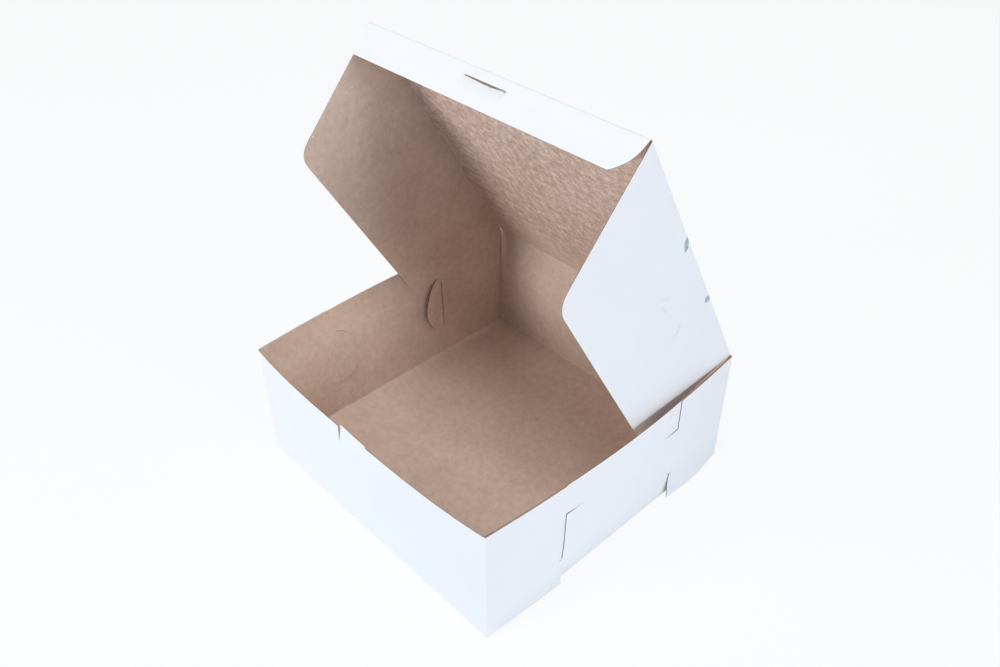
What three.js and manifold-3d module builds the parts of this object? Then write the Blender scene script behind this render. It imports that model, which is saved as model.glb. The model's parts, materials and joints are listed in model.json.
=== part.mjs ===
// A bakery box of folding board, standing open: a tray with locked corners and a hinged lid
// with two side ears and a tuck flap.
// Millimetres, +Z up. The origin is the centre of the tray floor's underside. The lid's hinge
// is at the back, towards +Y, and the front wall faces -Y.
import * as THREE from "three";
import { mergeVertices } from "three/addons/utils/BufferGeometryUtils.js";
import Module from "manifold-3d";

// The sheet and the tray
const BOARD = 0.5; // thickness of the folding board
const BOX_WIDTH = 254; // across the front, over the corner flaps
const BOX_DEPTH = 254; // front wall to back wall, outside
const WALL_HEIGHT = 101.6; // all four walls, from the underside of the floor
const LAYER_GAP = 0.4; // air between a side wall and the flap or tongue that lies on it
const SIDE_BOW = 7.5; // how far a side wall's top edge bulges outward at its middle
const FRONT_BOW = 6; // the same for the front wall
const BOW_FLATNESS = 3; // power of the front wall's bulge, higher is flatter in the middle
const LEAN_POWER = 3.5; // how quickly a wall reaches its full bulge above the bottom fold

// Corner locks
const FLAP_LENGTH = 67.5; // corner to the flap's shoulders
const FLAP_RISE = 0.5; // the flap's lower edge above the ground
const TONGUE_BOTTOM = 26;
const TONGUE_HEIGHT = 48;
const TONGUE_REACH = 90; // corner to the tongue's tip
const TONGUE_ROOT = 61; // corner to where the tongue leaves the plane of its flap
const TONGUE_TIP_ROUND = 20; // length of the half ellipse at the tip
const SLIT_PLACE = 68.3; // corner to the middle of the slit that the tongue goes through
const CROSSING_LENGTH = 3.5; // length in which the tongue passes from outside to inside
const SLIT_CLEARANCE = 0.3; // air round the tongue in its slit
const RELIEF_LENGTH = 18.5; // cut from the slit's top towards the wall's middle
const RELIEF_HOOK = 2.5; // short turn down at the end of that cut
const CUT_WIDTH = 0.4; // width of a plain die cut
const ROOT_OVERLAP = 0.5; // length of flap and tongue that are one and the same board
const CUT_OVERRUN = 1; // how far a cutting outline runs past the edge that it cuts

// Tab in the middle of the front wall's top edge
const TAB_WIDTH = 29.5;
const TAB_RISE = 2;
const TAB_CUT_DEPTH = 16.7; // slit down the tab's left side

// The lid and its flaps
const REST_OPENING = 60.3; // degrees between the closed lid and the lid as it stands
const LID_SEAT_GAP = 0.3; // closed lid above the walls' top edges
const HINGE_SETBACK = 0.45; // hinge line to the lid's rear edge
const FOLD_SETBACK = 0.25; // crease line to the edges of the two panels that it joins
const EAR_WALL_CLEARANCE = 0.3; // ear to side wall, lid closed
const TUCK_WALL_CLEARANCE = 0.3; // tuck flap to front wall, lid closed
const TUCK_EAR_CLEARANCE = 0.3; // tuck flap's end to the ear beside it
const EAR_HEIGHT = 99.5; // crease to the ear's free edge
const EAR_REAR_SETBACK = 1; // hinge to the ear's rear corner on the crease
const EAR_REAR_SLANT = 33; // how much further forward that edge is at the free edge
const EAR_FRONT_SETBACK = 0.5; // tuck flap's crease to the ear's front corner
const EAR_FRONT_SLANT = 33; // how much the front edge draws back towards the free edge
const EAR_CORNER_RADIUS = 12;
const TUCK_DEPTH = 27; // crease to the tuck flap's free edge
const TUCK_END_DRAW = 10; // how far each end draws in, from crease to free edge
const TUCK_SHOULDER = 6; // crease to where the end's curve begins
const TUCK_END_FULLNESS = 8; // pulls the end's curve out towards its corner

// Arch-shaped cut in the tuck flap. The front wall's tab stands in its top when the tuck flap
// lies flat over the wall.
const ARCH_GAP = 1.6; // open width along the arch's top
const ARCH_TOP_WIDTH = 40.5;
const ARCH_FOOT_WIDTH = 35;
const ARCH_DEPTH = 11; // top of the arch to the ends of its two legs
const ARCH_CORNER = 2; // slant that rounds off each upper corner
const TAB_CLEARANCE = 0.4; // tab to the near side of the arch's top

// Steps of the curved sheets
const LENGTH_STEPS = 22;
const HEIGHT_STEPS = 7;
const TONGUE_STEPS = 10;
const ROUND_STEPS = 8;

// Sizes that follow from those above
const SIDE_OUTER = BOX_WIDTH / 2 - BOARD - LAYER_GAP; // side wall's outer face at the bottom
const SIDE_INNER = SIDE_OUTER - BOARD;
const FRONT_INNER = BOX_DEPTH / 2 - BOARD;
const SIDE_HALF_LENGTH = FRONT_INNER - LAYER_GAP; // side walls end just inside the end walls
const TONGUE_TOP = TONGUE_BOTTOM + TONGUE_HEIGHT;
const HINGE_Y = BOX_DEPTH / 2 - BOARD / 2;
const HINGE_Z = WALL_HEIGHT + LID_SEAT_GAP + BOARD / 2;
const LID_INNER = BOARD / 2; // lid's inner face, from the hinge line
const EAR_CREASE = SIDE_INNER - EAR_WALL_CLEARANCE - BOARD; // half the width between the ears
const TUCK_CREASE = HINGE_Y + FRONT_INNER - TUCK_WALL_CLEARANCE - BOARD; // hinge to crease
const TAB_PLACE = FRONT_INNER + FRONT_BOW - (TUCK_CREASE - HINGE_Y); // tab, from that crease
const ARCH_TOP = TAB_PLACE - TAB_CLEARANCE;

const THROUGH_WALL = [SIDE_INNER - 3 * SIDE_BOW, BOX_WIDTH / 2 + 3 * SIDE_BOW]; // for cutters
const THROUGH_FRONT = [FRONT_INNER - 3 * FRONT_BOW, BOX_DEPTH / 2 + 3 * FRONT_BOW];

const wasm = await Module();
wasm.setup();

// Solids and meshes
function solid(geometry) {
  const bare = geometry.clone();
  bare.deleteAttribute("normal");
  bare.deleteAttribute("uv");
  const merged = mergeVertices(bare, 1e-5);
  const vertProperties = new Float32Array(merged.attributes.position.array);
  const triVerts = new Uint32Array(merged.index.array);
  return new wasm.Manifold(new wasm.Mesh({ numProp: 3, vertProperties, triVerts }));
}

function mesh(name, body, material) {
  const { vertProperties, triVerts } = body.getMesh();
  const geometry = new THREE.BufferGeometry();
  geometry.setAttribute("position", new THREE.BufferAttribute(vertProperties, 3));
  geometry.setIndex(new THREE.BufferAttribute(triVerts, 1));
  geometry.computeVertexNormals();
  const result = new THREE.Mesh(geometry, material);
  result.name = name;
  return result;
}

// A plane to draw on: two directions in it, and the direction out of it. Together they are
// right-handed.
function plane(along, up) {
  const out = new THREE.Vector3().crossVectors(along, up);
  return { along, up, out };
}

const X = new THREE.Vector3(1, 0, 0);
const Y = new THREE.Vector3(0, 1, 0);
const Z = new THREE.Vector3(0, 0, 1);
const MINUS_X = X.clone().negate();
const MINUS_Y = Y.clone().negate();
const MINUS_Z = Z.clone().negate();

// The four walls, drawn from outside, each with its length along the wall from its middle
const RIGHT = plane(Y, Z);
const LEFT = plane(MINUS_Y, Z);
const FRONT = plane(X, Z);
const BACK = plane(MINUS_X, Z);

// A flat outline given as points, cut out of board from one height to another
function outline(points) {
  return new THREE.Shape(points.map(([a, b]) => new THREE.Vector2(a, b)));
}

function prism(shape, on, from, to) {
  const options = { depth: to - from, bevelEnabled: false, curveSegments: ROUND_STEPS };
  const geometry = new THREE.ExtrudeGeometry(shape, options);
  geometry.translate(0, 0, from);
  geometry.applyMatrix4(new THREE.Matrix4().makeBasis(on.along, on.up, on.out));
  return solid(geometry);
}

function rectangle(left, right, low, high) {
  return outline([[left, low], [right, low], [right, high], [left, high]]);
}

// A bent sheet on a wall's plane. innerFace gives its inner face's distance from the middle of
// the box at each place.
function sheet(on, [left, right], [low, high], innerFace, thickness, steps) {
  const geometry = new THREE.BoxGeometry(right - left, high - low, 1, ...steps, 1);
  const place = geometry.attributes.position;
  const point = new THREE.Vector3();
  for (let i = 0; i < place.count; i += 1) {
    const length = (left + right) / 2 + place.getX(i);
    const height = (low + high) / 2 + place.getY(i);
    const distance = innerFace(length, height) + (place.getZ(i) + 0.5) * thickness;
    point.set(0, 0, 0);
    point.addScaledVector(on.along, length);
    point.addScaledVector(on.up, height);
    point.addScaledVector(on.out, distance);
    place.setXYZ(i, point.x, point.y, point.z);
  }
  return solid(geometry);
}

// How the walls bulge
const sideBow = (length) => SIDE_BOW * Math.cos((Math.PI * length) / BOX_DEPTH);

const frontBow = (length) =>
  FRONT_BOW * (1 - Math.abs((2 * length) / BOX_WIDTH) ** BOW_FLATNESS);

const lean = (height) => 1 - Math.max(0, 1 - height / WALL_HEIGHT) ** LEAN_POWER;

const sideInnerFace = (length, height) => SIDE_INNER + sideBow(length) * lean(height);

const frontInnerFace = (length, height) => FRONT_INNER + frontBow(length) * lean(height);

const backInnerFace = () => FRONT_INNER;

// A corner flap keeps one bulge at all heights, so its lower end stands off the wall
const flapInnerFace = (length) => BOX_WIDTH / 2 - BOARD + sideBow(length);

// The tongue starts in the flap's plane and passes through the wall to its inside
function tongueInnerFace(length, height) {
  const fromCorner = BOX_DEPTH / 2 - Math.abs(length);
  const start = SLIT_PLACE - CROSSING_LENGTH / 2;
  const share = THREE.MathUtils.smoothstep(fromCorner, start, start + CROSSING_LENGTH);
  const inside = sideInnerFace(length, height) - LAYER_GAP - BOARD;
  return THREE.MathUtils.lerp(flapInnerFace(length), inside, share);
}

const mirrored = (end, near, far) => (end > 0 ? [near, far] : [-far, -near]);

// One tongue, as thick as the board plus a clearance all round. end is 1 for the tongue that
// comes from the wall's far end and -1 for the one from its near end.
function tongue(on, end, clearance) {
  const tip = BOX_DEPTH / 2 - TONGUE_REACH - clearance;
  const root = BOX_DEPTH / 2 - TONGUE_ROOT + ROOT_OVERLAP;
  const innerFace = (length, height) => tongueInnerFace(length, height) - clearance;
  const across = mirrored(end, tip, root);
  const heights = [TONGUE_BOTTOM - clearance, TONGUE_TOP + clearance];
  const steps = [TONGUE_STEPS * 2, HEIGHT_STEPS];
  const strip = sheet(on, across, heights, innerFace, BOARD + 2 * clearance, steps);
  const middle = (TONGUE_BOTTOM + TONGUE_TOP) / 2;
  const half = TONGUE_HEIGHT / 2 + clearance;
  const shape = new THREE.Shape();
  const straightEnd = tip + TONGUE_TIP_ROUND;
  shape.moveTo(end * (root + CUT_OVERRUN), middle - half);
  shape.lineTo(end * straightEnd, middle - half);
  shape.absellipse(
    end * straightEnd,
    middle,
    TONGUE_TIP_ROUND,
    half,
    -Math.PI / 2,
    Math.PI / 2,
    end > 0,
    0,
  );
  shape.lineTo(end * (root + CUT_OVERRUN), middle + half);
  return strip.intersect(prism(shape, on, ...THROUGH_WALL));
}

function cornerFlap(on, end) {
  const shoulder = BOX_DEPTH / 2 - FLAP_LENGTH;
  const across = mirrored(end, shoulder, BOX_DEPTH / 2);
  const heights = [FLAP_RISE, WALL_HEIGHT];
  const body = sheet(on, across, heights, flapInnerFace, BOARD, [TONGUE_STEPS, 1]);
  const window = mirrored(end, shoulder - CUT_OVERRUN, BOX_DEPTH / 2 - TONGUE_ROOT);
  const low = TONGUE_BOTTOM - SLIT_CLEARANCE;
  const high = TONGUE_TOP + SLIT_CLEARANCE;
  const opening = rectangle(...window, low, high);
  return body.subtract(prism(opening, on, ...THROUGH_WALL)).add(tongue(on, end, 0));
}

function reliefCut(on, end) {
  const slit = BOX_DEPTH / 2 - SLIT_PLACE;
  const far = slit - RELIEF_LENGTH;
  const run = rectangle(...mirrored(end, far, slit), TONGUE_TOP - CUT_WIDTH, TONGUE_TOP);
  const hookSpan = mirrored(end, far, far + CUT_WIDTH);
  const hook = rectangle(...hookSpan, TONGUE_TOP - RELIEF_HOOK, TONGUE_TOP);
  return prism(run, on, ...THROUGH_WALL).add(prism(hook, on, ...THROUGH_WALL));
}

function sideWall(on) {
  const across = [-SIDE_HALF_LENGTH, SIDE_HALF_LENGTH];
  const steps = [LENGTH_STEPS, HEIGHT_STEPS];
  let wall = sheet(on, across, [0, WALL_HEIGHT], sideInnerFace, BOARD, steps);
  for (const end of [-1, 1]) {
    wall = wall.subtract(tongue(on, end, SLIT_CLEARANCE));
    wall = wall.subtract(reliefCut(on, end));
  }
  for (const end of [-1, 1]) {
    wall = wall.add(cornerFlap(on, end));
  }
  return wall;
}

function frontWall() {
  const across = [-BOX_WIDTH / 2, BOX_WIDTH / 2];
  const steps = [LENGTH_STEPS, HEIGHT_STEPS];
  const wall = sheet(FRONT, across, [0, WALL_HEIGHT], frontInnerFace, BOARD, steps);
  const tabSpan = [-TAB_WIDTH / 2, TAB_WIDTH / 2];
  const tabHeights = [WALL_HEIGHT - TAB_RISE, WALL_HEIGHT + TAB_RISE];
  const tab = sheet(FRONT, tabSpan, tabHeights, frontInnerFace, BOARD, [6, 2]);
  const slit = rectangle(
    -TAB_WIDTH / 2 - CUT_WIDTH,
    -TAB_WIDTH / 2,
    WALL_HEIGHT - TAB_CUT_DEPTH,
    WALL_HEIGHT + TAB_RISE,
  );
  return wall.add(tab).subtract(prism(slit, FRONT, ...THROUGH_FRONT));
}

function tray() {
  const floorShape = rectangle(-SIDE_OUTER, SIDE_OUTER, -BOX_DEPTH / 2, BOX_DEPTH / 2);
  const floor = prism(floorShape, plane(X, Y), 0, BOARD);
  const backSpan = [-BOX_WIDTH / 2, BOX_WIDTH / 2];
  const back = sheet(BACK, backSpan, [0, WALL_HEIGHT], backInnerFace, BOARD, [2, 1]);
  return floor.add(back).add(frontWall()).add(sideWall(RIGHT)).add(sideWall(LEFT));
}

// The lid is drawn closed, with the hinge line as its origin: forward is towards the front wall
// and down is towards the floor.
const LID_PLANE = plane(X, MINUS_Y);
const EAR_PLANE = plane(MINUS_Y, MINUS_Z);
const TUCK_PLANE = plane(X, MINUS_Z);

function lidPanel() {
  const half = EAR_CREASE - FOLD_SETBACK;
  const shape = rectangle(-half, half, HINGE_SETBACK, TUCK_CREASE - FOLD_SETBACK);
  return prism(shape, LID_PLANE, -BOARD / 2, BOARD / 2);
}

// A corner of an outline rounded by an arc, written as a curve through the corner point
function roundedCorner(shape, corner, before, after, radius) {
  const point = new THREE.Vector2(...corner);
  const entry = new THREE.Vector2(...before).sub(point).setLength(radius).add(point);
  const exit = new THREE.Vector2(...after).sub(point).setLength(radius).add(point);
  shape.lineTo(entry.x, entry.y);
  shape.quadraticCurveTo(point.x, point.y, exit.x, exit.y);
}

function ear(side) {
  const top = LID_INNER + FOLD_SETBACK;
  const free = LID_INNER + EAR_HEIGHT;
  const rearTop = [EAR_REAR_SETBACK, top];
  const frontTop = [TUCK_CREASE - EAR_FRONT_SETBACK, top];
  const frontFree = [frontTop[0] - EAR_FRONT_SLANT, free];
  const rearFree = [EAR_REAR_SETBACK + EAR_REAR_SLANT, free];
  const shape = new THREE.Shape();
  shape.moveTo(...rearTop);
  shape.lineTo(...frontTop);
  roundedCorner(shape, frontFree, frontTop, rearFree, EAR_CORNER_RADIUS);
  roundedCorner(shape, rearFree, frontFree, rearTop, EAR_CORNER_RADIUS);
  shape.closePath();
  const inner = side * EAR_CREASE;
  const outer = side * (EAR_CREASE + BOARD);
  return prism(shape, EAR_PLANE, Math.min(inner, outer), Math.max(inner, outer));
}

function tuckFlap() {
  const top = LID_INNER + FOLD_SETBACK;
  const shoulder = LID_INNER + TUCK_SHOULDER;
  const free = LID_INNER + TUCK_DEPTH;
  const half = EAR_CREASE - TUCK_EAR_CLEARANCE;
  const shape = new THREE.Shape();
  shape.moveTo(-half, top);
  shape.lineTo(half, top);
  shape.lineTo(half, shoulder);
  const bulge = free - TUCK_END_FULLNESS;
  shape.quadraticCurveTo(half, bulge, half - TUCK_END_DRAW, free);
  shape.lineTo(-half + TUCK_END_DRAW, free);
  shape.quadraticCurveTo(-half, bulge, -half, shoulder);
  shape.closePath();
  const flap = prism(shape, TUCK_PLANE, -TUCK_CREASE - BOARD, -TUCK_CREASE);
  return flap.subtract(archCut());
}

function archCut() {
  const top = LID_INNER + ARCH_TOP;
  const under = top + ARCH_GAP;
  const foot = top + ARCH_DEPTH;
  const corner = top + ARCH_CORNER;
  const half = ARCH_TOP_WIDTH / 2;
  const footHalf = ARCH_FOOT_WIDTH / 2;
  const right = [
    [half - ARCH_CORNER, top],
    [half, corner],
    [footHalf, foot],
    [footHalf - CUT_WIDTH, foot],
    [half - CUT_WIDTH - ARCH_GAP, corner + CUT_WIDTH],
    [half - ARCH_CORNER - ARCH_GAP, under],
  ];
  const left = right.map(([across, down]) => [-across, down]).reverse();
  const cutter = outline([...right, ...left]);
  return prism(cutter, TUCK_PLANE, -TUCK_CREASE - 2 * BOARD, -TUCK_CREASE + BOARD);
}

// The box: the tray stands on the ground, and the lid turns about the hinge line
const coatedWhite = new THREE.MeshStandardMaterial({
  color: 0xf4f5f7,
  roughness: 0.55,
  metalness: 0,
});
const kraftBrown = new THREE.MeshStandardMaterial({
  color: 0xb99b8c,
  roughness: 0.85,
  metalness: 0,
});

const lid = new THREE.Group();
lid.position.set(0, HINGE_Y, HINGE_Z);
lid.rotation.x = THREE.MathUtils.degToRad(-REST_OPENING);
lid.add(
  mesh("lid_panel", lidPanel(), kraftBrown),
  mesh("ear_left", ear(-1), kraftBrown),
  mesh("ear_right", ear(1), kraftBrown),
  mesh("tuck_flap", tuckFlap(), kraftBrown),
);

const box = new THREE.Group();
box.add(mesh("tray", tray(), coatedWhite), lid);

export default box;
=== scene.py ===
# %% [markdown]
# # A bakery box of folding board
#
# The real box is one die-cut sheet of board, white on its outside and bare brown kraft on its
# inside. Nothing is glued: four corner flaps are pushed through slits and lock the tray.
# So each piece here starts the same way, as a flat sheet that is cut and then folded.

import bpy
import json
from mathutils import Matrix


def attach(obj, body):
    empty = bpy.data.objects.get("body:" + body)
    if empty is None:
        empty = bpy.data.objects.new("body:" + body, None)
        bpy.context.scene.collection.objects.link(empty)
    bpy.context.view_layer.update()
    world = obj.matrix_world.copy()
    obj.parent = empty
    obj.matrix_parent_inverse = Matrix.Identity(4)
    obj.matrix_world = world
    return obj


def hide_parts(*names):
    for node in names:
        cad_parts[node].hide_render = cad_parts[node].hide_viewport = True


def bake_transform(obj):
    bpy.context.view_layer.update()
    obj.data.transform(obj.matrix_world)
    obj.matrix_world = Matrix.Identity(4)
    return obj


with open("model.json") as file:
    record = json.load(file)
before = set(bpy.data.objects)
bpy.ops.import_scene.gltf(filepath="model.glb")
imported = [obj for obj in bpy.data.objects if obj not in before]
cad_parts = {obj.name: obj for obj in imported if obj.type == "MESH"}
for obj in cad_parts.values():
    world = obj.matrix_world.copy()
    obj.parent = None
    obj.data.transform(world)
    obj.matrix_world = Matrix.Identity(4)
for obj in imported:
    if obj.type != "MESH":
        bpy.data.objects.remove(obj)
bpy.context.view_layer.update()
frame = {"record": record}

# %% [markdown]
# ## Sizes
#
# All lengths are in metres. The sheet is half a millimetre thick and its middle layer is what
# gets folded, so places are given for that middle layer. The hinge and crease lines are read
# from the frame, because the lid and its flaps have to turn about exactly those lines.

# %% Sizes of the sheet and the tray
import json
import math

import bmesh
import bpy
from mathutils import Matrix, Vector

MM = 0.001
BOARD = 0.5 * MM
BOX_WIDTH = 254 * MM
BOX_DEPTH = 254 * MM
WALL_HEIGHT = 101.6 * MM
LAYER_GAP = 0.4 * MM
SIDE_BOW = 7.5 * MM
FRONT_BOW = 6 * MM
BOW_FLATNESS = 3
LEAN_POWER = 3.5
CREASE_RADIUS = 0.75 * MM
PANEL_STEP = 6 * MM

joints = {joint["name"]: joint for joint in frame["record"]["behaviour"]["joints"]}
hinge = Vector(joints["lid_hinge"]["pos_m"])
forward = Vector(joints["ear_left_fold"]["axis"]).normalized()
side = Vector((1, 0, 0))
down = side.cross(forward)

FRONT_MIDDLE = BOX_DEPTH / 2 - BOARD / 2
FLAP_MIDDLE = BOX_WIDTH / 2 - BOARD / 2
SIDE_MIDDLE = FLAP_MIDDLE - LAYER_GAP - BOARD
QUARTER = CREASE_RADIUS * math.pi / 2
WALL_RUN = QUARTER + WALL_HEIGHT - BOARD / 2 - CREASE_RADIUS
print("lid leans forward along", tuple(round(v, 4) for v in forward))
print("its ears point along", tuple(round(v, 4) for v in down))

# %% [markdown]
# ## Cutting a sheet
#
# A sheet could be drawn as one big face, but a flat face can't bend. So it starts as a grid
# whose lines are moved to wherever a crease, a slit or an even step is wanted. Squares outside
# the outline are deleted, and round ends are trimmed with straight knife cuts along their
# tangents.

# %% Helpers that cut
KNIFE_PRECISION = 1e-7


def even_lines(low, high, step):
    """Places from low to high, both included, about step apart."""
    count = max(1, round((high - low) / step))
    return [low + (high - low) * i / count for i in range(count + 1)]


def merged_lines(*groups, least=0.15 * MM):
    """All places of the groups in order. An earlier group's places are kept before a later one's."""
    kept = []
    for group in groups:
        kept += [place for place in group if all(abs(place - k) > least for k in kept)]
    return sorted(kept)


def cut_sheet(xs, ys):
    """A flat grid with its lines at xs and ys. Its faces look down, to the outside of the box."""
    bm = bmesh.new()
    bmesh.ops.create_grid(bm, x_segments=len(xs) - 1, y_segments=len(ys) - 1, size=1)
    for vert in bm.verts:
        column = round((vert.co.x + 1) / 2 * (len(xs) - 1))
        row = round((vert.co.y + 1) / 2 * (len(ys) - 1))
        vert.co = Vector((xs[column], ys[row], 0))
    bmesh.ops.reverse_faces(bm, faces=bm.faces)
    return bm


def remove_where(bm, test):
    """Deletes the faces whose middle passes the test."""
    doomed = [face for face in bm.faces if test(face.calc_center_median())]
    bmesh.ops.delete(bm, geom=doomed, context="FACES")


def cut_along(bm, start, end, inside, clear_outer=False):
    """One straight knife cut through the faces whose middle passes the test."""
    start, end = Vector((*start, 0)), Vector((*end, 0))
    outward = (end - start).cross(Vector((0, 0, 1)))
    faces = {face for face in bm.faces if inside(face.calc_center_median())}
    verts = {vert for face in faces for vert in face.verts}
    edges = {edge for face in faces for edge in face.edges}
    bmesh.ops.bisect_plane(
        bm,
        geom=list(verts | edges | faces),
        dist=KNIFE_PRECISION,
        plane_co=start,
        plane_no=outward,
        clear_outer=clear_outer,
    )


def trim(bm, outline, inside):
    """Cuts away what lies outside a convex outline, given anticlockwise.

    Only faces whose middle passes the test are cut.
    """
    for start, end in zip(outline, outline[1:]):
        cut_along(bm, start, end, inside, clear_outer=True)


def curve_points(start, control, end, steps=10):
    """Points of a curve that leaves its start and meets its end in the direction of a control point."""
    shares = [k / steps for k in range(steps + 1)]
    start, control, end = Vector(start), Vector(control), Vector(end)
    return [
        tuple(start * (1 - t) ** 2 + control * 2 * t * (1 - t) + end * t**2) for t in shares
    ]


def split_along(bm, on_line):
    """Slits the sheet along the edges whose two ends are both on the line."""
    edges = [e for e in bm.edges if len(e.link_faces) == 2 and on_line(e)]
    bmesh.ops.split_edges(bm, edges=edges)


# %% [markdown]
# ## Folding a sheet
#
# The flat sheet keeps its flat coordinates as a UV map, called blank, so that the board's grain
# runs over the creases as it does on the real thing. Then every vertex is moved to its folded
# place, the sheet gets its thickness from Solidify, and the inner layer and the cut edges get
# their own materials. Edges inside a slit get a near-black kraft, a painted shade, because light
# hardly gets in there.

# %% Helpers that fold
INNER = 1
EDGE = 2
# The next index is a near-black finish for cut edges in slits, a painted shade.
SHADED_CUT = 3
SHARP_ANGLE = math.radians(35)


def placed(name, data):
    """An object of some data, put in the scene."""
    obj = bpy.data.objects.new(name, data)
    bpy.context.scene.collection.objects.link(obj)
    return obj


def keep_flat_map(bm, offset=(0, 0)):
    """Keeps the flat coordinates, moved to where the piece lies on the whole sheet."""
    layer = bm.loops.layers.uv.new("blank")
    for face in bm.faces:
        for loop in face.loops:
            loop[layer].uv = (loop.vert.co.x + offset[0], loop.vert.co.y + offset[1])


def board_object(name, bm, finishes, rim_finish=None):
    """A mesh object from a folded middle layer, given the thickness of the board."""
    mesh = bpy.data.meshes.new(name)
    bm.to_mesh(mesh)
    bm.free()
    for finish in finishes:
        mesh.materials.append(finish)
    raw = placed(name + "_raw", mesh)
    thick = raw.modifiers.new("board", "SOLIDIFY")
    thick.thickness = BOARD
    thick.offset = 0
    thick.use_even_offset = True
    thick.material_offset = 1
    thick.material_offset_rim = 2
    depsgraph = bpy.context.evaluated_depsgraph_get()
    solid = bpy.data.meshes.new_from_object(raw.evaluated_get(depsgraph), depsgraph=depsgraph)
    solid.name = name
    bpy.data.objects.remove(raw)
    flat = solid.uv_layers["blank"].data
    for face in solid.polygons:
        if rim_finish and face.material_index == EDGE:
            u, v = sum((flat[i].uv for i in face.loop_indices), Vector((0, 0))) / len(face.vertices)
            face.material_index = rim_finish(u, v)
    solid.shade_smooth()
    solid.set_sharp_from_angle(angle=SHARP_ANGLE)
    print(name, "triangles:", sum(len(p.vertices) - 2 for p in solid.polygons))
    return placed(name, solid)


def smooth(value, low, high):
    """0 below low, 1 above high, and an even S between them."""
    share = min(1, max(0, (value - low) / (high - low)))
    return share * share * (3 - 2 * share)


# %% [markdown]
# ## Shader maths
#
# A long chain of Math nodes is hard to read. This small class holds one output socket and lets
# Python's own operators add the Math nodes, so a pattern reads like a formula.

# %% Shader helpers
class Value:
    """One number that varies over a surface."""

    def __init__(self, shader, socket):
        self.shader, self.socket = shader, socket

    def _math(self, operation, first, second):
        return self.shader.value("ShaderNodeMath", {"operation": operation}, {0: first, 1: second})

    def __add__(self, other):
        return self._math("ADD", self, other)

    def __radd__(self, other):
        return self._math("ADD", other, self)

    def __sub__(self, other):
        return self._math("SUBTRACT", self, other)

    def __rsub__(self, other):
        return self._math("SUBTRACT", other, self)

    def __mul__(self, other):
        return self._math("MULTIPLY", self, other)

    def between(self, low, high):
        """0 at low and below, 1 at high and above, with a soft S between."""
        settings = {"interpolation_type": "SMOOTHSTEP"}
        inputs = {"Value": self, "From Min": low, "From Max": high}
        return self.shader.value("ShaderNodeMapRange", settings, inputs, "Result")


class Shader:
    """The nodes of a material or of the world, and one method that makes any node."""

    def __init__(self, owner):
        owner.use_nodes = True
        self.owner, self.tree = owner, owner.node_tree
        self.surface = self.tree.nodes.get("Principled BSDF")

    def node(self, kind, settings=None, inputs=None):
        """A node of a kind, its settings set first, then its inputs given values or links."""
        made = self.tree.nodes.new(kind)
        for key, setting in (settings or {}).items():
            setattr(made, key, setting)
        for key, given in (inputs or {}).items():
            self._give(made.inputs[key], given)
        return made

    def _give(self, socket, given):
        """Links a varying value to an input, or sets a plain number or colour."""
        if isinstance(given, Value):
            given = given.socket
        if isinstance(given, bpy.types.NodeSocket):
            self.tree.links.new(given, socket)
        else:
            socket.default_value = given

    def value(self, kind, settings, inputs, output=0):
        return Value(self, self.node(kind, settings, inputs).outputs[output])

    def set(self, **inputs):
        """Gives inputs of the surface, by their names with an underscore for each space."""
        for key, given in inputs.items():
            self._give(self.surface.inputs[key.replace("_", " ")], given)

    def blank(self, along=1.0, across=1.0):
        """The board's own flat coordinates, stretched for a grain."""
        flat = self.node("ShaderNodeUVMap", {"uv_map": "blank"}).outputs["UV"]
        inputs = {"Vector": flat, "Scale": (along, across, 1)}
        return self.node("ShaderNodeMapping", None, inputs).outputs["Vector"]

    def noise(self, vector, scale, detail=4, rough=0.55):
        inputs = {"Vector": vector, "Scale": scale, "Detail": detail, "Roughness": rough}
        return self.value("ShaderNodeTexNoise", None, inputs)

    def spot(self, place, half, turn=0, ragged=0.8, soft=0.3):
        """1 on a small mark at a place on the flat board, with a ragged soft edge."""
        flat = self.node("ShaderNodeUVMap", {"uv_map": "blank"}).outputs["UV"]
        inputs = {"Vector": flat, "Location": (*place, 0), "Rotation": (0, 0, turn)}
        inputs["Scale"] = (*half, 1)
        local = self.node("ShaderNodeMapping", {"vector_type": "TEXTURE"}, inputs).outputs[0]
        away = self.value("ShaderNodeVectorMath", {"operation": "LENGTH"}, {0: local}, "Value")
        edge = away + (self.noise(self.blank(), 700, 3) - 0.5) * ragged
        return edge.between(1 + soft, 1 - soft)

    def mix(self, factor, first, second):
        settings = {"data_type": "RGBA"}
        inputs = {0: factor, 6: first, 7: second}
        return self.node("ShaderNodeMix", settings, inputs).outputs[2]

    def bump(self, height, strength, distance):
        inputs = {"Height": height, "Strength": strength, "Distance": distance}
        return self.node("ShaderNodeBump", None, inputs).outputs["Normal"]

    def finish(self, share, first, second):
        """Ends the tree in a mix of two shaders: the first at share 0, the second at share 1."""
        mixed = self.node("ShaderNodeMixShader", None, {0: share, 1: first, 2: second})
        end = next(n for n in self.tree.nodes if n.type in ("OUTPUT_MATERIAL", "OUTPUT_WORLD"))
        self.tree.links.new(mixed.outputs[0], end.inputs["Surface"])

    def seen_directly(self):
        """1 for the camera, and for what a reflection or a clear piece shows of the background."""
        path = self.node("ShaderNodeLightPath").outputs
        camera, glossy, clear = (
            Value(self, path[f"Is {kind} Ray"]) for kind in ("Camera", "Glossy", "Transmission")
        )
        return camera + glossy + clear


# %% [markdown]
# ## Bare kraft, the inside of the board
#
# Unbleached kraft is a mat of brown fibres. Close by it shows short fibres and longer streaks
# along the grain, from a step away a soft mottle, and over a whole panel a faint cloud where the
# pulp lay thicker. Four noises at those sizes make it, and the fibres also lift the surface a
# little. On the lid the grain's colour is painted with more contrast and darker browns, a painted
# shade of the light that rakes over it there. Scuffs, scratches and specks are small ellipses
# with ragged edges, each at its place on the flat board.

# %% Small marks
def marks(shader, places, ragged, soft):
    """All marks of a list in one mask."""
    total = 0
    for (x, y), (width, length), turn in places:
        half = (width * MM, length * MM)
        spot = shader.spot((x * MM, y * MM), half, math.radians(turn), ragged, soft)
        total = spot + total
    return total


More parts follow.
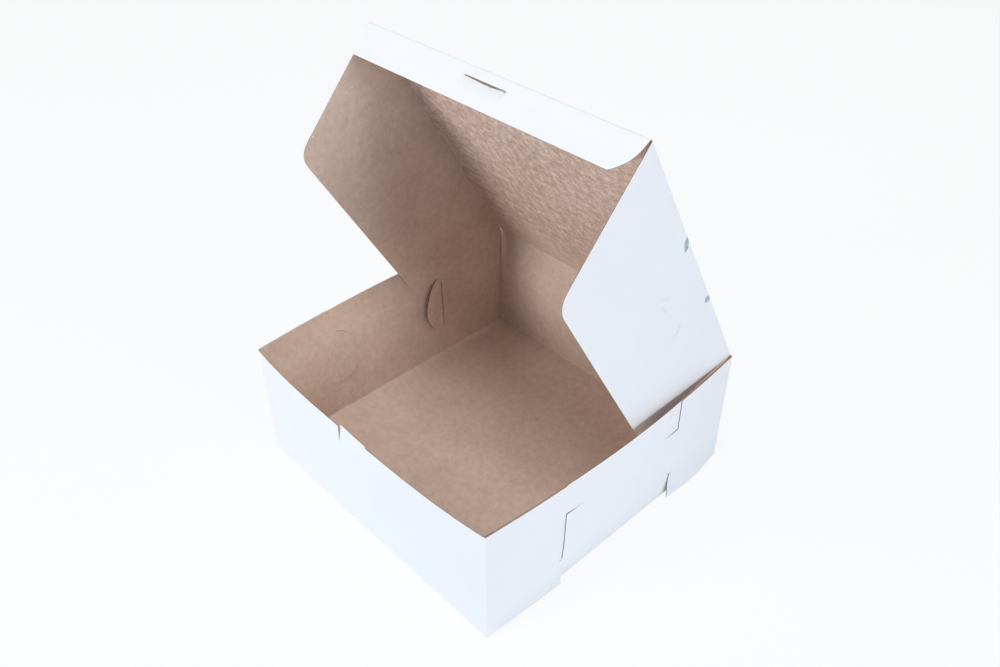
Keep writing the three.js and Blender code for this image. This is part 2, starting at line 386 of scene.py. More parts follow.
# %% Kraft
# Middle, half size and turn of each mark, on the flat board, in millimetres and degrees
SPECKS = [((-207.7, 450.8), (0.9, 0.7), 30), ((-163.0, 455.0), (0.7, 0.5), 0)]
KRAFT_LIGHT = (0.84, 0.69, 0.595, 1)
KRAFT_DARK = (0.565, 0.44, 0.37, 1)
# A darker brown for the lid's grain, a painted shade of the light raking over the lid.
LID_RAKE_SHADE = (0.44, 0.26, 0.17, 1)
EDGE_LIGHT = (0.46, 0.32, 0.23, 1)
EDGE_DARK = (0.31, 0.21, 0.15, 1)
# Near-black kraft for edges inside slits: a painted shade, where light hardly gets in.
CUT_SHADE_LIGHT = (0.13, 0.115, 0.12, 1)
CUT_SHADE_DARK = (0.07, 0.06, 0.065, 1)
FIBRE_PALE = (0.86, 0.74, 0.64, 1)
SPECK_PALE = (0.95, 0.9, 0.84, 1)

FIBRE_SCALE = 3000
STREAK_SCALE = 1700
SPECK_SCALE = 1500
MOTTLE_SCALE = 170
CLOUD_SCALE = 22
LID_STARTS = (230 * MM, 300 * MM)
LID_SIDES_SQUARED = (0.0162, 0.0152)


def kraft_board(name, light, dark):
    """Bare kraft between a light and a dark brown."""
    shader = Shader(bpy.data.materials.new(name))
    grain = shader.blank(0.5, 1)
    fibre = shader.noise(grain, FIBRE_SCALE, 4, 0.7)
    streak = shader.noise(shader.blank(0.38, 1), STREAK_SCALE, 4, 0.75)
    mottle = shader.noise(shader.blank(), MOTTLE_SCALE, 4, 0.65)
    cloud = shader.noise(shader.blank(), CLOUD_SCALE, 4, 0.6)
    split = shader.node("ShaderNodeSeparateXYZ", None, {0: shader.blank()}).outputs
    across, along = Value(shader, split["X"]), Value(shader, split["Y"])
    on_lid = along.between(*LID_STARTS) * (across * across).between(*LID_SIDES_SQUARED)
    # On the lid the grain's colour contrast is raised, a painted shade of the raking light; the bump
    # follows too.
    rough = 0.75 + on_lid * 1.6
    tone = 0.5 + (fibre + streak * 1.3 + mottle * 0.9 - 1.6) * rough + (cloud - 0.5) * 0.5
    pale = tone.between(0.05, 0.95)
    colour = shader.mix(pale, dark, light)
    # The lid's darker grain turns a warmer dark brown there, a painted shade of the raking light.
    colour = shader.mix((1 - pale) * on_lid * 0.55, colour, LID_RAKE_SHADE)
    speck = shader.noise(grain, SPECK_SCALE, 1).between(0.76, 0.82)
    colour = shader.mix(speck * 0.4, colour, FIBRE_PALE)
    bright = marks(shader, SPECKS, 0.6, 0.2)
    colour = shader.mix(bright * 0.7, colour, SPECK_PALE)
    shader.set(Base_Color=colour, Roughness=0.88 - fibre * 0.1, Specular_IOR_Level=0.2)
    height = (fibre * 0.6 + streak * 0.9 + mottle * 0.4) * rough
    shader.set(Normal=shader.bump(height, 0.5, 0.2 * MM))
    return shader.owner


kraft = kraft_board("kraft_inside", KRAFT_LIGHT, KRAFT_DARK)
cut_edge = kraft_board("kraft_cut_edge", EDGE_LIGHT, EDGE_DARK)
# A near-black copy of the kraft paints the shade inside slits.
shaded_cut = kraft_board("kraft_painted_cut_shade", CUT_SHADE_LIGHT, CUT_SHADE_DARK)
print("made", kraft.name, cut_edge.name, shaded_cut.name)

# %% [markdown]
# ## Clay coat, the outside of the board
#
# The white side is a thin coat of clay over the same fibres. It is smooth and slightly glossy,
# with the fibres just felt under it, and it picks up faint scuffs where it was handled.

# %% Clay coat
COAT_WHITE = (0.845, 0.865, 0.895, 1)
COAT_WORN = (0.70, 0.735, 0.80, 1)
SCUFF_GREY = (0.33, 0.40, 0.48, 1)

# Given as the specks are
SCUFFS = [
    ((127.2, 383.2), (2.2, 5.2), 25),
    ((129.0, 379.0), (1.4, 2.4), 60),
    ((127.2, 314.8), (2.6, 3.2), -20),
]
RUBS = [
    ((157.5, 359.0), (0.9, 6.5), -42),
    ((162.0, 352.0), (0.8, 5.0), -10),
    ((158.5, 320.0), (1.8, 5.5), 62),
    ((186.0, 10.5), (0.5, 2.4), 55),
    ((182.6, 14.4), (0.5, 2.4), -20),
    ((220.5, 47.5), (3.6, 1.5), 10),
]


def coated_board(name):
    """White clay coat, with its marks."""
    shader = Shader(bpy.data.materials.new(name))
    fibre = shader.noise(shader.blank(1, 0.5), 900, 4, 0.6)
    cloud = shader.noise(shader.blank(), CLOUD_SCALE, 4, 0.6)
    rub = shader.noise(shader.blank(1, 3), 55, 5, 0.7).between(0.62, 0.78)
    scratch = marks(shader, RUBS, 0.9, 0.5)
    tone = cloud.between(0.3, 0.8) * 0.12 + rub * 0.06 + scratch * 0.5
    colour = shader.mix(tone, COAT_WHITE, COAT_WORN)
    scuff = marks(shader, SCUFFS, 0.9, 0.15)
    shader.set(Base_Color=shader.mix(scuff * 0.85, colour, SCUFF_GREY))
    shader.set(Roughness=0.42 + fibre * 0.12 + rub * 0.1 + scuff * 0.3)
    shader.set(Normal=shader.bump(fibre * 0.5 + cloud * 0.8, 0.18, 0.1 * MM))
    return shader.owner


coat = coated_board("clay_coat")
FINISHES = (coat, kraft, cut_edge, shaded_cut)
print("made", coat.name)

# %% [markdown]
# ## The tray
#
# Floor, walls and corner flaps are one cross-shaped sheet. The flaps belong to the front and
# back walls. They turn round the corner, lie on the outside of the side walls, and a tongue at
# each end goes through a slit to the inside. That is what makes the side walls bulge.

# %% Sizes of the corner locks
FLAP_LENGTH = 67.5 * MM
FLAP_RISE = 1.0 * MM
TONGUE_ROOT = 60 * MM
TONGUE_BOTTOM = 26.5 * MM
TONGUE_TOP = 73.5 * MM
TONGUE_REACH = 90 * MM
TONGUE_TIP_ROUND = 20 * MM
SLIT_PLACE = 68.3 * MM
SLIT_BOTTOM = 26 * MM
SLIT_TOP = 74 * MM
RELIEF_END = SLIT_PLACE + 18.5 * MM
RELIEF_HOOK = 2.5 * MM
TAB_HALF = 14.75 * MM
TAB_RISE = 2 * MM
TAB_CUT_DEPTH = 16.7 * MM
WALL_STEPS_FROM = 4 * MM
WALL_STEPS_TO = 98 * MM
WALL_STEP = 3.5 * MM
FINE_STEP = 2 * MM
LOCK_STEP = 1.7 * MM
LOCK_STEPS_TO_CORNER = 8
LOCK_STEPS_TO_MIDDLE = 11
TIP_CUTS = 14
NEAR = 1e-5

flat_floor_x = SIDE_MIDDLE - CREASE_RADIUS
flat_floor_y = FRONT_MIDDLE - CREASE_RADIUS
flat_front_x = FLAP_MIDDLE - CREASE_RADIUS


def run_at(height):
    """How far up the flat sheet, from the floor's edge, a height on the wall lies."""
    return height - BOARD / 2 - CREASE_RADIUS + QUARTER


def flap_run(from_corner):
    """The same along a flap, for a distance from the box's corner."""
    return from_corner - BOARD / 2 - CREASE_RADIUS + QUARTER


def crease_place(run):
    """A quarter bend, then straight on: how far out and how high a run along a panel gets."""
    if run <= 0:
        return run, 0
    if run < QUARTER:
        turn = run / CREASE_RADIUS
        return CREASE_RADIUS * math.sin(turn), CREASE_RADIUS * (1 - math.cos(turn))
    return CREASE_RADIUS, CREASE_RADIUS + run - QUARTER


# %% Lines of the flat sheet
arc_steps = [QUARTER * k / 4 for k in range(5)]
lock_heights = (SLIT_BOTTOM, TONGUE_BOTTOM, TONGUE_BOTTOM + 2 * MM, TONGUE_TOP, SLIT_TOP)
wall_runs = merged_lines(
    [run_at(h) for h in (FLAP_RISE, *lock_heights, SLIT_TOP - RELIEF_HOOK, WALL_HEIGHT)],
    [run_at(WALL_HEIGHT - TAB_CUT_DEPTH)],
    arc_steps,
    even_lines(run_at(WALL_STEPS_FROM), run_at(WALL_STEPS_TO), WALL_STEP),
)
flap_runs = merged_lines(
    [flap_run(d) for d in (TONGUE_ROOT, FLAP_LENGTH, SLIT_PLACE, TONGUE_REACH)],
    arc_steps,
    even_lines(QUARTER, flap_run(TONGUE_REACH), FINE_STEP),
)
x_core = merged_lines(
    [-TAB_HALF, TAB_HALF], even_lines(-flat_floor_x, flat_floor_x, PANEL_STEP)
)
slit_y = BOX_DEPTH / 2 - SLIT_PLACE
relief_y = BOX_DEPTH / 2 - RELIEF_END
y_core = merged_lines(
    [-slit_y, slit_y, -relief_y, relief_y],
    [
        end * (slit_y + k * LOCK_STEP)
        for end in (-1, 1)
        for k in range(-LOCK_STEPS_TO_MIDDLE, LOCK_STEPS_TO_CORNER + 1)
    ],
    even_lines(-flat_floor_y, flat_floor_y, PANEL_STEP),
)
print("lines up a wall:", len(wall_runs), "over the floor:", len(x_core), "by", len(y_core))


# %% How the walls bulge
def side_bow(y):
    return SIDE_BOW * math.cos(math.pi * y / BOX_DEPTH)


def front_bow(x):
    return FRONT_BOW * (1 - abs(2 * x / BOX_WIDTH) ** BOW_FLATNESS)


def lean(z):
    """The share of its bulge that a wall has at a height, none at the floor's middle layer."""
    return 1 - max(0, 1 - max(0, z - BOARD / 2) / WALL_HEIGHT) ** LEAN_POWER


def wall_middle(y, z):
    """Distance of a side wall's middle layer from the middle of the box."""
    return SIDE_MIDDLE + side_bow(y) * lean(z)


# %% [markdown]
# The sheet is cut in three parts that meet at the floor's front and back creases. They are
# folded one by one, because flaps and side walls need different lines, and are then welded.
#
# At each slit the board gives way as real board does: the lip on the corner's side is pressed
# in, and the lip on the other side stands out like a small door, cut free along its top.

# %% Floor and side walls
LIP_SPREAD = 1.0 * MM
DOOR_SPREAD = 0.6 * MM
LIP_REACH = 12 * MM
LIP_RAMP = 2 * MM
FELT_SHARE = 0.02


def felt(vert):
    """A vertex's flat place, moved a little towards its own faces.

    The two sides of a slit share their places, and this tells them apart.
    """
    faces = vert.link_faces
    middle = sum((f.calc_center_median() for f in faces), Vector()) / len(faces)
    return vert.co + (middle - vert.co) * FELT_SHARE


def lip_shift(from_corner, z):
    band = smooth(z, SLIT_BOTTOM, SLIT_BOTTOM + LIP_RAMP)
    if from_corner < SLIT_PLACE:
        band *= 1 - smooth(z, SLIT_TOP - LIP_RAMP, SLIT_TOP)
        return -LIP_SPREAD * band * smooth(from_corner, SLIT_PLACE - LIP_REACH, SLIT_PLACE)
    if z > SLIT_TOP:
        return 0
    return DOOR_SPREAD * band * (1 - smooth(from_corner, SLIT_PLACE, RELIEF_END))


def floor_and_sides():
    xs = [-flat_floor_x - r for r in reversed(wall_runs[1:])] + x_core
    xs += [flat_floor_x + r for r in wall_runs[1:]]
    bm = cut_sheet(xs, y_core)

    def height(place):
        return crease_place(abs(place.x) - flat_floor_x)[1] + BOARD / 2

    def on_cut(edge):
        a, b = (v.co for v in edge.verts)
        heights = sorted((height(a), height(b)))
        if heights[0] < SLIT_BOTTOM - NEAR or heights[1] > SLIT_TOP + NEAR:
            return False
        if abs(abs(a.y) - slit_y) < NEAR and abs(abs(b.y) - slit_y) < NEAR:
            return True
        if abs(abs(a.y) - relief_y) < NEAR and abs(abs(b.y) - relief_y) < NEAR:
            return heights[0] > SLIT_TOP - RELIEF_HOOK - NEAR
        between = all(relief_y - NEAR < abs(p.y) < slit_y + NEAR for p in (a, b))
        return between and heights[0] > SLIT_TOP - NEAR

    split_along(bm, on_cut)
    keep_flat_map(bm)
    places = {vert: felt(vert) for vert in bm.verts}
    for vert, near in places.items():
        run = abs(vert.co.x) - flat_floor_x
        if run <= 0:
            vert.co.z = BOARD / 2
            continue
        out, rise = crease_place(run)
        z = rise + BOARD / 2
        y = vert.co.y
        shift = lip_shift(BOX_DEPTH / 2 - abs(near.y), height(near))
        distance = flat_floor_x + out + side_bow(y) * lean(z) + shift
        vert.co = Vector((math.copysign(distance, vert.co.x), y, z))
    return bm


# %% [markdown]
# An end wall and its two flaps are one strip. A flap lies on the side wall and bulges with it,
# and only its loose lower end stands off, which makes a small dark notch beside it. The cut ends
# of the flaps, all but the front left one, are also painted near black, a painted shade. The
# tongue dips through the slit, its top hooks over the slit's end, and its tip lifts off the wall
# inside.

# %% Front and back wall with their flaps
FLAP_STAND = 0.75
FLAP_STAND_HEIGHT = 24 * MM
BACK_FLAP_BELLY = 2.5 * MM
TAB_GAP = 1.4 * MM
TAB_SIDE_SHARE = 0.3
FRONT_TIP_LIFT = 2.0 * MM
BACK_TIP_LIFT = 5 * MM
CROSSING_BEFORE = 3 * MM
CROSSING = 8 * MM
TAB_LEAN = -1.0 * MM
TAB_SLANT = 2.4 * MM
TAB_FADE = 15 * MM
FLAP_PRESS = 0.32 * MM
HOOK_RISE = 4.5 * MM
HOOK_RAMP = 3 * MM


def flap_lean(z):
    """How much of its bulge the flap has: that of the wall, and more near its loose lower end."""
    loose = FLAP_STAND * (1 - smooth(z, 0, FLAP_STAND_HEIGHT))
    return lean(z) + (1 - lean(z)) * loose


def tongue_place(y, z, from_corner, flap_x):
    """The tongue's middle layer: outside the wall before the slit, inside it beyond."""
    wall = wall_middle(y, z)
    if from_corner < SLIT_PLACE:
        crossed = smooth(from_corner, SLIT_PLACE - CROSSING_BEFORE, SLIT_PLACE)
        return wall + (flap_x - wall) * (1 - crossed)
    sunk = (LAYER_GAP + BOARD) * smooth(from_corner, SLIT_PLACE, SLIT_PLACE + CROSSING)
    lift = FRONT_TIP_LIFT if y < 0 else BACK_TIP_LIFT
    return wall - sunk - lift * smooth(from_corner, SLIT_PLACE + CROSSING / 2, TONGUE_REACH)


def end_wall(end, bulges):
    """end is -1 for the front wall and 1 for the back wall."""
    xs = [-flat_front_x - r for r in reversed(flap_runs)] + x_core
    xs += [flat_front_x + r for r in flap_runs]
    runs = wall_runs + ([run_at(WALL_HEIGHT + TAB_RISE)] if bulges else [])
    bm = cut_sheet(xs, runs)
    shoulder = flat_front_x + flap_run(FLAP_LENGTH)
    root = flat_front_x + flap_run(TONGUE_ROOT)
    low, high = run_at(TONGUE_BOTTOM), run_at(TONGUE_TOP)

    def surplus(place):
        x, run = abs(place.x), place.y
        if run > WALL_RUN:
            return x > TAB_HALF
        if x > shoulder:
            return not low < run < high
        return x > flat_front_x and run < run_at(FLAP_RISE)

    remove_where(bm, surplus)
    middle, half = (low + high) / 2, (high - low) / 2
    for way in (-1, 1):
        tip = flat_front_x + flap_run(TONGUE_REACH)
        turns = [-math.pi / 2 + math.pi * k / TIP_CUTS for k in range(TIP_CUTS + 1)]
        outline = [
            (
                way * (tip - TONGUE_TIP_ROUND * (1 - math.cos(turn))),
                middle + way * half * math.sin(turn),
            )
            for turn in turns
        ]
        trim(bm, outline, lambda place, way=way: way * place.x > shoulder)

    def on_cut(edge):
        a, b = (v.co for v in edge.verts)
        inner, outer = sorted((abs(a.x), abs(b.x)))
        if inner > root - NEAR and outer < shoulder + NEAR:
            return any(abs(a.y - level) < NEAR and abs(b.y - level) < NEAR for level in (low, high))
        at_tab = abs(a.x + TAB_HALF) < NEAR and abs(b.x + TAB_HALF) < NEAR
        return bulges and at_tab and min(a.y, b.y) > run_at(WALL_HEIGHT - TAB_CUT_DEPTH) - NEAR

    split_along(bm, on_cut)
    for vert in bm.verts:
        vert.co.y = end * (flat_floor_y + vert.co.y)
    if end > 0:
        print("back wall runs to", round(max(v.co.y for v in bm.verts), 4), "on the flat sheet")
    else:
        bmesh.ops.reverse_faces(bm, faces=bm.faces)
    keep_flat_map(bm)
    places = {vert: felt(vert) for vert in bm.verts}
    for vert, near in places.items():
        out, rise = crease_place(abs(vert.co.y) - flat_floor_y)
        z = rise + BOARD / 2
        x = vert.co.x
        beyond = abs(x) - flat_front_x
        if beyond <= 0:
            bow = front_bow(x) * lean(min(z, WALL_HEIGHT)) if bulges else 0
            in_tab = bulges and -TAB_HALF < near.x < TAB_HALF and near.y < 0
            tall = smooth(z, WALL_HEIGHT - TAB_CUT_DEPTH, WALL_HEIGHT + TAB_RISE)
            across = 1 - smooth(x, -TAB_HALF, TAB_HALF)
            bow += TAB_LEAN * tall * across if in_tab else 0
            if bulges and abs(x + TAB_HALF) < NEAR:
                x += TAB_GAP * tall * (TAB_SIDE_SHARE if in_tab else TAB_SIDE_SHARE - 1)
                foot = WALL_HEIGHT - TAB_CUT_DEPTH
                share = min(1, max(0, (z - foot) / TAB_CUT_DEPTH))
                x -= TAB_SLANT * (1 - share) * smooth(z, foot - TAB_FADE, foot)
            vert.co = Vector((x, end * (flat_floor_y + out + bow), z))
            continue
        sideways, back = crease_place(beyond)
        y = end * (FRONT_MIDDLE - back)
        from_corner = BOX_DEPTH / 2 - abs(y)
        distance = flat_front_x + sideways + side_bow(y) * flap_lean(z)
        distance -= FLAP_PRESS * smooth(from_corner, FLAP_LENGTH / 2, FLAP_LENGTH)
        if end > 0 and from_corner < FLAP_LENGTH:
            loose = 1 - smooth(z, 0, FLAP_STAND_HEIGHT)
            belly = max(0, math.sin(math.pi * from_corner / FLAP_LENGTH))
            distance += BACK_FLAP_BELLY * belly * loose
        near_z = crease_place(abs(near.y) - flat_floor_y)[1] + BOARD / 2
        if abs(near.x) > root and TONGUE_BOTTOM < near_z < TONGUE_TOP:
            past = smooth(from_corner, SLIT_PLACE + NEAR, SLIT_PLACE + HOOK_RAMP)
            z += HOOK_RISE * past * smooth(z, (TONGUE_BOTTOM + TONGUE_TOP) / 2, TONGUE_TOP)
            distance = tongue_place(y, z, from_corner, distance)
        vert.co = Vector((math.copysign(distance, x), y, z))
    return bm


# %% Weld the tray
WELD_REACH = 0.02 * MM
RIM_REACH = 0.3 * MM
END_ZONE = 5 * MM


def weld(parts, on_seam):
    """Joins sheets along a seam into one."""
    whole = bmesh.new()
    for part in parts:
        held = bpy.data.meshes.new("part")
        part.to_mesh(held)
        part.free()
        whole.from_mesh(held)
        bpy.data.meshes.remove(held)
    seam = [vert for vert in whole.verts if on_seam(vert.co)]
    bmesh.ops.remove_doubles(whole, verts=seam, dist=WELD_REACH)
    return whole


def on_floor_edge(place):
    return abs(abs(place.y) - flat_floor_y) < NEAR and place.z < BOARD / 2 + NEAR


def in_tray_cut(u, v):
    """Whether a place on the flat sheet is in a slit or on a corner flap's inner end."""
    up, beyond = abs(u) - flat_floor_x, abs(v) - flat_floor_y
    if beyond < -END_ZONE:
        return u > 0 and run_at(SLIT_BOTTOM) - MM < up < run_at(SLIT_TOP) + MM
    if abs(u) > flat_front_x + flap_run(FLAP_LENGTH) - RIM_REACH:
        return u > 0 or v > 0
    at_slit = v < 0 and abs(u + TAB_HALF) < TAB_GAP
    return at_slit and run_at(WALL_HEIGHT - TAB_CUT_DEPTH) < beyond < WALL_RUN - MM


def tray_rim(u, v):
    """Cuts get painted shade, the left wall's top edge a painted highlight, and the other edges are
    brown.
    """
    # Edges in the right wall's slits, at the front tab's slit and at most flap ends get the near-black
    # finish, a painted shade.
    if in_tray_cut(u, v):
        return SHADED_CUT
    # The left wall's top edges, and those of its flaps, take the pale inner kraft: a painted highlight
    # where the light catches them.
    on_top = -u - flat_floor_x > WALL_RUN - RIM_REACH
    on_flap_top = u < -flat_front_x and abs(v) - flat_floor_y > WALL_RUN - RIM_REACH
    return INNER if on_top or on_flap_top else EDGE


sheet = weld([floor_and_sides(), end_wall(-1, True), end_wall(1, False)], on_floor_edge)
tray = board_object("tray_board", sheet, FINISHES, tray_rim)
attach(tray, "tray")
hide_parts("tray")

# %% [markdown]
# ## The lid
#
# The lid is the same sheet, carried on over the back wall's top crease. Its places are given
# from the hinge line: across, forward along the lid, and down from the lid's middle layer. At
# the hinge a short strip of the sheet hangs straight down, and the lid goes on from there.

# %% Sizes of the lid
LID_INNER = BOARD / 2
ear_crease = abs(joints["ear_right_fold"]["pos_m"][0])
tuck_crease = (Vector(joints["tuck_fold"]["pos_m"]) - hinge).dot(forward)
EAR_MIDDLE = ear_crease + BOARD / 2
TUCK_MIDDLE = tuck_crease + BOARD / 2
HINGE_RUN = 0.55 * MM
LID_MARGIN = 4 * MM
flat_lid_x = EAR_MIDDLE - CREASE_RADIUS
flat_lid_s = TUCK_MIDDLE - CREASE_RADIUS
back_wall_run = flat_floor_y + WALL_RUN + HINGE_RUN


def lid_place(across, along, below):
    return hinge + side * across + forward * along + down * below


def fold_run(height):
    """How far from the crease's start a height on an ear or the tuck flap lies."""
    return height - CREASE_RADIUS + QUARTER


# %% Lid panel
def lid_sheet():
    xs = even_lines(-flat_lid_x, flat_lid_x, PANEL_STEP)
    ys = merged_lines(
        [-HINGE_RUN, -HINGE_RUN / 2, 0, HINGE_RUN / 2, HINGE_RUN, flat_lid_s],
        even_lines(LID_MARGIN, flat_lid_s - LID_MARGIN, PANEL_STEP),
    )
    bm = cut_sheet(xs, ys)
    keep_flat_map(bm, (0, back_wall_run))
    for vert in bm.verts:
        if vert.co.y < 0:
            vert.co = Vector((vert.co.x, hinge.y, hinge.z + vert.co.y))
        else:
            vert.co = lid_place(vert.co.x, vert.co.y, 0)
    return bm


lid = board_object("lid_board", lid_sheet(), FINISHES)
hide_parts("lid_panel")
tuple(lid_place(0, HINGE_RUN, 0))
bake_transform(lid)

# %% [markdown]
# ## Ears
#
# Each ear is folded down from the lid's side. Its front and rear edges slant, so that it slips
# in beside the tray's walls when the lid closes, and its free corners are round.

# %% Ears
EAR_HEIGHT = 99.5 * MM
EAR_REAR = 1 * MM
EAR_REAR_SLANT = 33 * MM
EAR_FRONT_SETBACK = 0.5 * MM
EAR_FRONT_SLANT = 33 * MM
EAR_CORNER_RADIUS = 12 * MM
EAR_STEP = 5 * MM


def rounded(corner, before, after, radius):
    """Points of the curve that rounds a corner off, as the solid's outline does."""
    corner, before, after = Vector(corner), Vector(before), Vector(after)
    entry = corner + (before - corner).normalized() * radius
    leave = corner + (after - corner).normalized() * radius
    return curve_points(entry, corner, leave, 8)


def ear_sheet(way):
    front = tuck_crease - EAR_FRONT_SETBACK
    free = fold_run(LID_INNER + EAR_HEIGHT)
    ys = even_lines(EAR_REAR, front, PANEL_STEP)
    runs = merged_lines(arc_steps, even_lines(QUARTER, free, EAR_STEP))
    bm = cut_sheet(runs, ys)
    corners = [
        (0, EAR_REAR),
        (free, EAR_REAR + EAR_REAR_SLANT),
        (free, front - EAR_FRONT_SLANT),
        (0, front),
    ]
    outline = [corners[0]]
    outline += rounded(corners[1], corners[0], corners[2], EAR_CORNER_RADIUS)
    outline += rounded(corners[2], corners[1], corners[3], EAR_CORNER_RADIUS)
    outline += [corners[3]]
    trim(bm, outline, lambda place: True)
    for vert in bm.verts:
        vert.co.x = way * (flat_lid_x + vert.co.x)
    if way < 0:
        bmesh.ops.reverse_faces(bm, faces=bm.faces)
    keep_flat_map(bm, (0, back_wall_run))
    for vert in bm.verts:
        out, below = crease_place(abs(vert.co.x) - flat_lid_x)
        vert.co = lid_place(way * (flat_lid_x + out), vert.co.y, below)
    return bm


for way, body in ((-1, "ear_left"), (1, "ear_right")):
    ear = board_object(body + "_board", ear_sheet(way), FINISHES)
    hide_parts(body)
    middle = tuck_crease / 2
    start = lid_place(way * flat_lid_x, middle, 0)
    end = lid_place(way * EAR_MIDDLE, middle, CREASE_RADIUS)
    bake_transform(ear)

# %% [markdown]
# ## Tuck flap
#
# The tuck flap goes in behind the front wall. An arch-shaped cut frees a small tongue in it, and
# as that tongue is pressed back a little, the arch's top stands open as a dark line. The arch's
# cut edges are painted near black, a painted shade that deepens that line.

# %% Tuck flap
TUCK_DEPTH = 27 * MM
TUCK_CLEARANCE = 0.3 * MM
TUCK_HALF = ear_crease - TUCK_CLEARANCE
TUCK_STEP = 7 * MM
TUCK_END_DRAW = 10 * MM
TUCK_SHOULDER = 6 * MM
TUCK_END_FULLNESS = 8 * MM
ARCH_TOP = 7.7 * MM
ARCH_HALF = 20.3 * MM
ARCH_FOOT_HALF = 17.5 * MM
ARCH_DEPTH = 10.5 * MM
ARCH_BEND = 2 * MM
ARCH_BEND_DRAW = 0.4 * MM
ARCH_OPEN = 1.2 * MM
ARCH_WIDEST = 3 * MM
ARCH_LEFT_SHARE = 0.3
ARCH_PRESS = 1.2 * MM
ARCH_ZONE = 24 * MM
SCORE_MARGIN = 8 * MM


def arch_outline():
    top = fold_run(LID_INNER + ARCH_TOP)
    bend_start = (ARCH_HALF - ARCH_BEND, top)
    bend_end = (ARCH_HALF - ARCH_BEND_DRAW, top + ARCH_BEND)
    right = curve_points(bend_start, (ARCH_HALF, top), bend_end, 4)
    right = [*right, (ARCH_FOOT_HALF, top + ARCH_DEPTH)]
    left = [(-x, run) for x, run in reversed(right)]
    return left + right


def score(bm, points):
    """Draws a line of cuts on the flat sheet, leaving both sides in place."""
    for start, end in zip(points, points[1:]):
        middle = (Vector(start) + Vector(end)) / 2
        reach = (Vector(end) - Vector(start)).length / 2 + SCORE_MARGIN
        cut_along(bm, start, end, lambda place: (place.xy - middle).length < reach)


def on_points(points, place):
    """Whether a flat place lies on a line of points."""
    for start, end in zip(points, points[1:]):
        start, end = Vector(start), Vector(end)
        along = end - start
        share = max(0, min(1, (place.xy - start).dot(along) / along.length_squared))
        if (start + along * share - place.xy).length < NEAR:
            return True
    return False


def arch_gap(x):
    """How far the arch's top stands open: widest near its middle, and nothing at its right end."""
    rise = ARCH_LEFT_SHARE + (1 - ARCH_LEFT_SHARE) * smooth(x, -ARCH_HALF, ARCH_WIDEST)
    return ARCH_OPEN * rise * smooth(x, ARCH_HALF, ARCH_WIDEST)


def tuck_sheet():
    shoulder = fold_run(LID_INNER + TUCK_SHOULDER)
    free = fold_run(LID_INNER + TUCK_DEPTH)
    xs = merged_lines(
        even_lines(-TUCK_HALF, TUCK_HALF, TUCK_STEP),
        even_lines(-ARCH_ZONE, ARCH_ZONE, FINE_STEP),
    )
    bm = cut_sheet(xs, merged_lines(arc_steps, even_lines(QUARTER, free, FINE_STEP)))
    right = curve_points(
        (TUCK_HALF, shoulder),
        (TUCK_HALF, free - TUCK_END_FULLNESS),
        (TUCK_HALF - TUCK_END_DRAW, free),
    )
    left = [(-x, run) for x, run in reversed(right)]
    trim(bm, [(TUCK_HALF, 0), *right], lambda place: place.x > 0)
    trim(bm, [*left, (-TUCK_HALF, 0)], lambda place: place.x < 0)
    arch = arch_outline()
    score(bm, arch)
    split_along(bm, lambda edge: all(on_points(arch, v.co) for v in edge.verts))
    for vert in bm.verts:
        vert.co.y += flat_lid_s
    keep_flat_map(bm, (0, back_wall_run))
    top = fold_run(LID_INNER + ARCH_TOP)
    places = {vert: felt(vert) for vert in bm.verts}
    for vert, near in places.items():
        run = vert.co.y - flat_lid_s
        low = near.y - flat_lid_s - top
        half = ARCH_HALF + (ARCH_FOOT_HALF - ARCH_HALF) * max(0, low) / ARCH_DEPTH
        in_tongue = 0 < low < ARCH_DEPTH and abs(near.x) < half
        fade = (1 - low / ARCH_DEPTH) ** 2 if in_tongue else 0
        out, below = crease_place(run)
        press = ARCH_PRESS * fade
        x = vert.co.x
        vert.co = lid_place(x, flat_lid_s + out - press, below + arch_gap(x) * fade)
    return bm


# Cut edges in the arch get the near-black finish, a painted shade of the open cut.
def tuck_rim(u, v):
    along = v - back_wall_run - flat_lid_s - fold_run(LID_INNER + ARCH_TOP)
    in_arch = abs(u) < ARCH_HALF + MM and -MM < along < ARCH_DEPTH + MM
    return SHADED_CUT if in_arch else EDGE


tuck = board_object("tuck_board", tuck_sheet(), FINISHES, tuck_rim)
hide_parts("tuck_flap")
start = lid_place(0, flat_lid_s, 0)
end = lid_place(0, TUCK_MIDDLE, CREASE_RADIUS)
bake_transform(tuck)

# %% [markdown]
# ## Camera
#
# The camera's place, direction and lens were worked out from the box's corners in the photo, by
# matching them with a 254 mm square tray, 101.6 mm high.

# %% Camera
SENSOR_WIDTH = 36
PHOTO_WIDTH = 1000
FOCAL_PIXELS = 953.64
CAMERA_PLACE = Vector((0.4104, -0.3825, 0.5548))
CAMERA_RIGHT = Vector((0.6891, 0.7247, -0.0024))
CAMERA_UP = Vector((-0.4426, 0.4235, 0.7904))
CAMERA_BACK = Vector((0.5738, -0.5436, 0.6126))

data = bpy.data.cameras.new("camera")
data.sensor_width = SENSOR_WIDTH
data.sensor_fit = "HORIZONTAL"
data.lens = FOCAL_PIXELS * SENSOR_WIDTH / PHOTO_WIDTH
data.clip_start = 0.01
camera = placed("camera", data)
axes = Matrix((CAMERA_RIGHT, CAMERA_UP, CAMERA_BACK)).transposed()
camera.matrix_world = Matrix.Translation(CAMERA_PLACE) @ axes.to_4x4()
bpy.context.scene.camera = camera
print("lens", round(data.lens, 2), "mm")

# %% [markdown]
# ## Light and floor
#
# Three soft lamps light the box: one in front and a little to the left, one at its right, and
# one above. The sky adds a weak cool light from all sides, so the faces that no lamp reaches
# turn a little blue. To the camera, sky and floor are plain white, and the floor keeps a share
# of its own shading for the soft shadow.

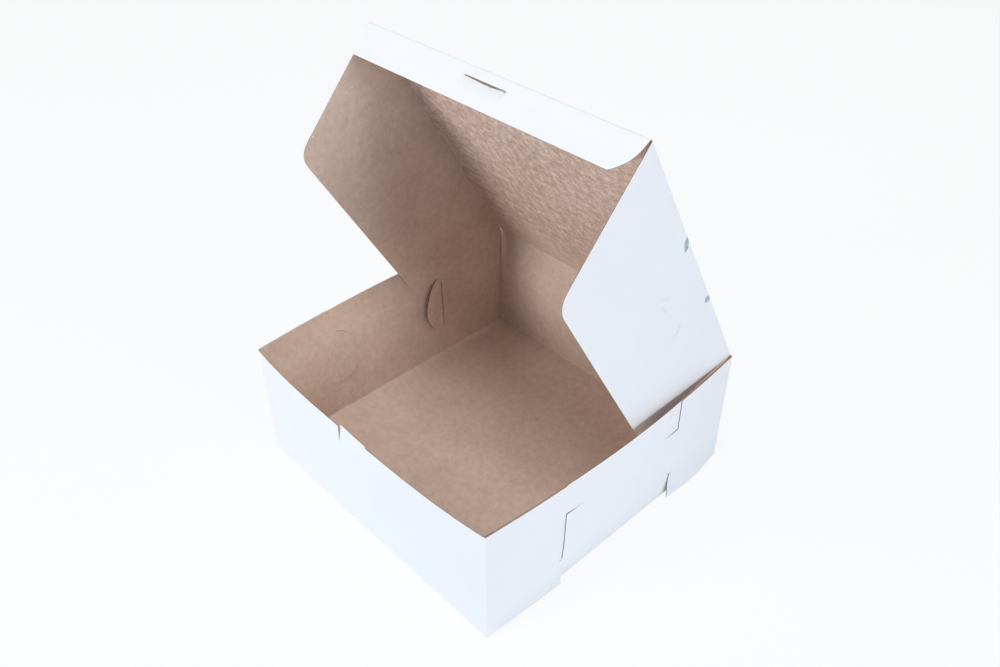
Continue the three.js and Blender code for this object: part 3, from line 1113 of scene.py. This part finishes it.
# %% Light
LAMP_TARGET = Vector((0, 0, 0.1))
LAMP_SIZE = 0.5
FRONT_LAMP = (-0.52, -1.5, 0.6)
FRONT_POWER = 14.5
RIGHT_LAMP = (1.65, -0.12, 0.5)
RIGHT_POWER = 13.2
TOP_LAMP = (0, -0.24, 1.7)
TOP_POWER = 10.8
LAMP_COLOUR = (1.0, 0.985, 0.965)
SKY_COLOUR = (0.72, 0.85, 1.0, 1)
SKY_STRENGTH = 0.22


def soft_lamp(name, place, power):
    lamp = bpy.data.lights.new(name, "AREA")
    lamp.size = LAMP_SIZE
    lamp.energy = power
    lamp.color = LAMP_COLOUR
    obj = placed(name, lamp)
    obj.location = place
    obj.rotation_euler = (Vector(place) - LAMP_TARGET).to_track_quat("Z", "Y").to_euler()
    obj.visible_camera = False


soft_lamp("front_lamp", FRONT_LAMP, FRONT_POWER)
soft_lamp("right_lamp", RIGHT_LAMP, RIGHT_POWER)
soft_lamp("top_lamp", TOP_LAMP, TOP_POWER)

world = bpy.data.worlds.new("sky")
sky = Shader(world)
sky_light = sky.tree.nodes["Background"]
sky_light.inputs["Color"].default_value = SKY_COLOUR
sky_light.inputs["Strength"].default_value = SKY_STRENGTH
plain = sky.node("ShaderNodeBackground", None, {"Color": (1, 1, 1, 1), "Strength": 1})
sky.finish(sky.seen_directly(), sky_light.outputs[0], plain.outputs[0])
bpy.context.scene.world = world
bpy.context.scene.view_settings.view_transform = "Standard"

# %% Floor
FLOOR_SIZE = 6
FLOOR_PLAIN = 0.9
FLOOR_COLOUR = (0.76, 0.83, 0.93, 1)

floor_shader = Shader(bpy.data.materials.new("pale_floor"))
floor_shader.set(Base_Color=FLOOR_COLOUR, Roughness=0.9)
glow = floor_shader.node("ShaderNodeEmission", None, {"Color": (1, 1, 1, 1), "Strength": 1})
floor_shader.finish(
    floor_shader.seen_directly() * FLOOR_PLAIN,
    floor_shader.surface.outputs[0],
    glow.outputs[0],
)
flat = bmesh.new()
bmesh.ops.create_grid(flat, x_segments=1, y_segments=1, size=FLOOR_SIZE / 2)
floor_mesh = bpy.data.meshes.new("floor")
flat.to_mesh(floor_mesh)
flat.free()
floor_mesh.materials.append(floor_shader.owner)
floor = placed("floor", floor_mesh)
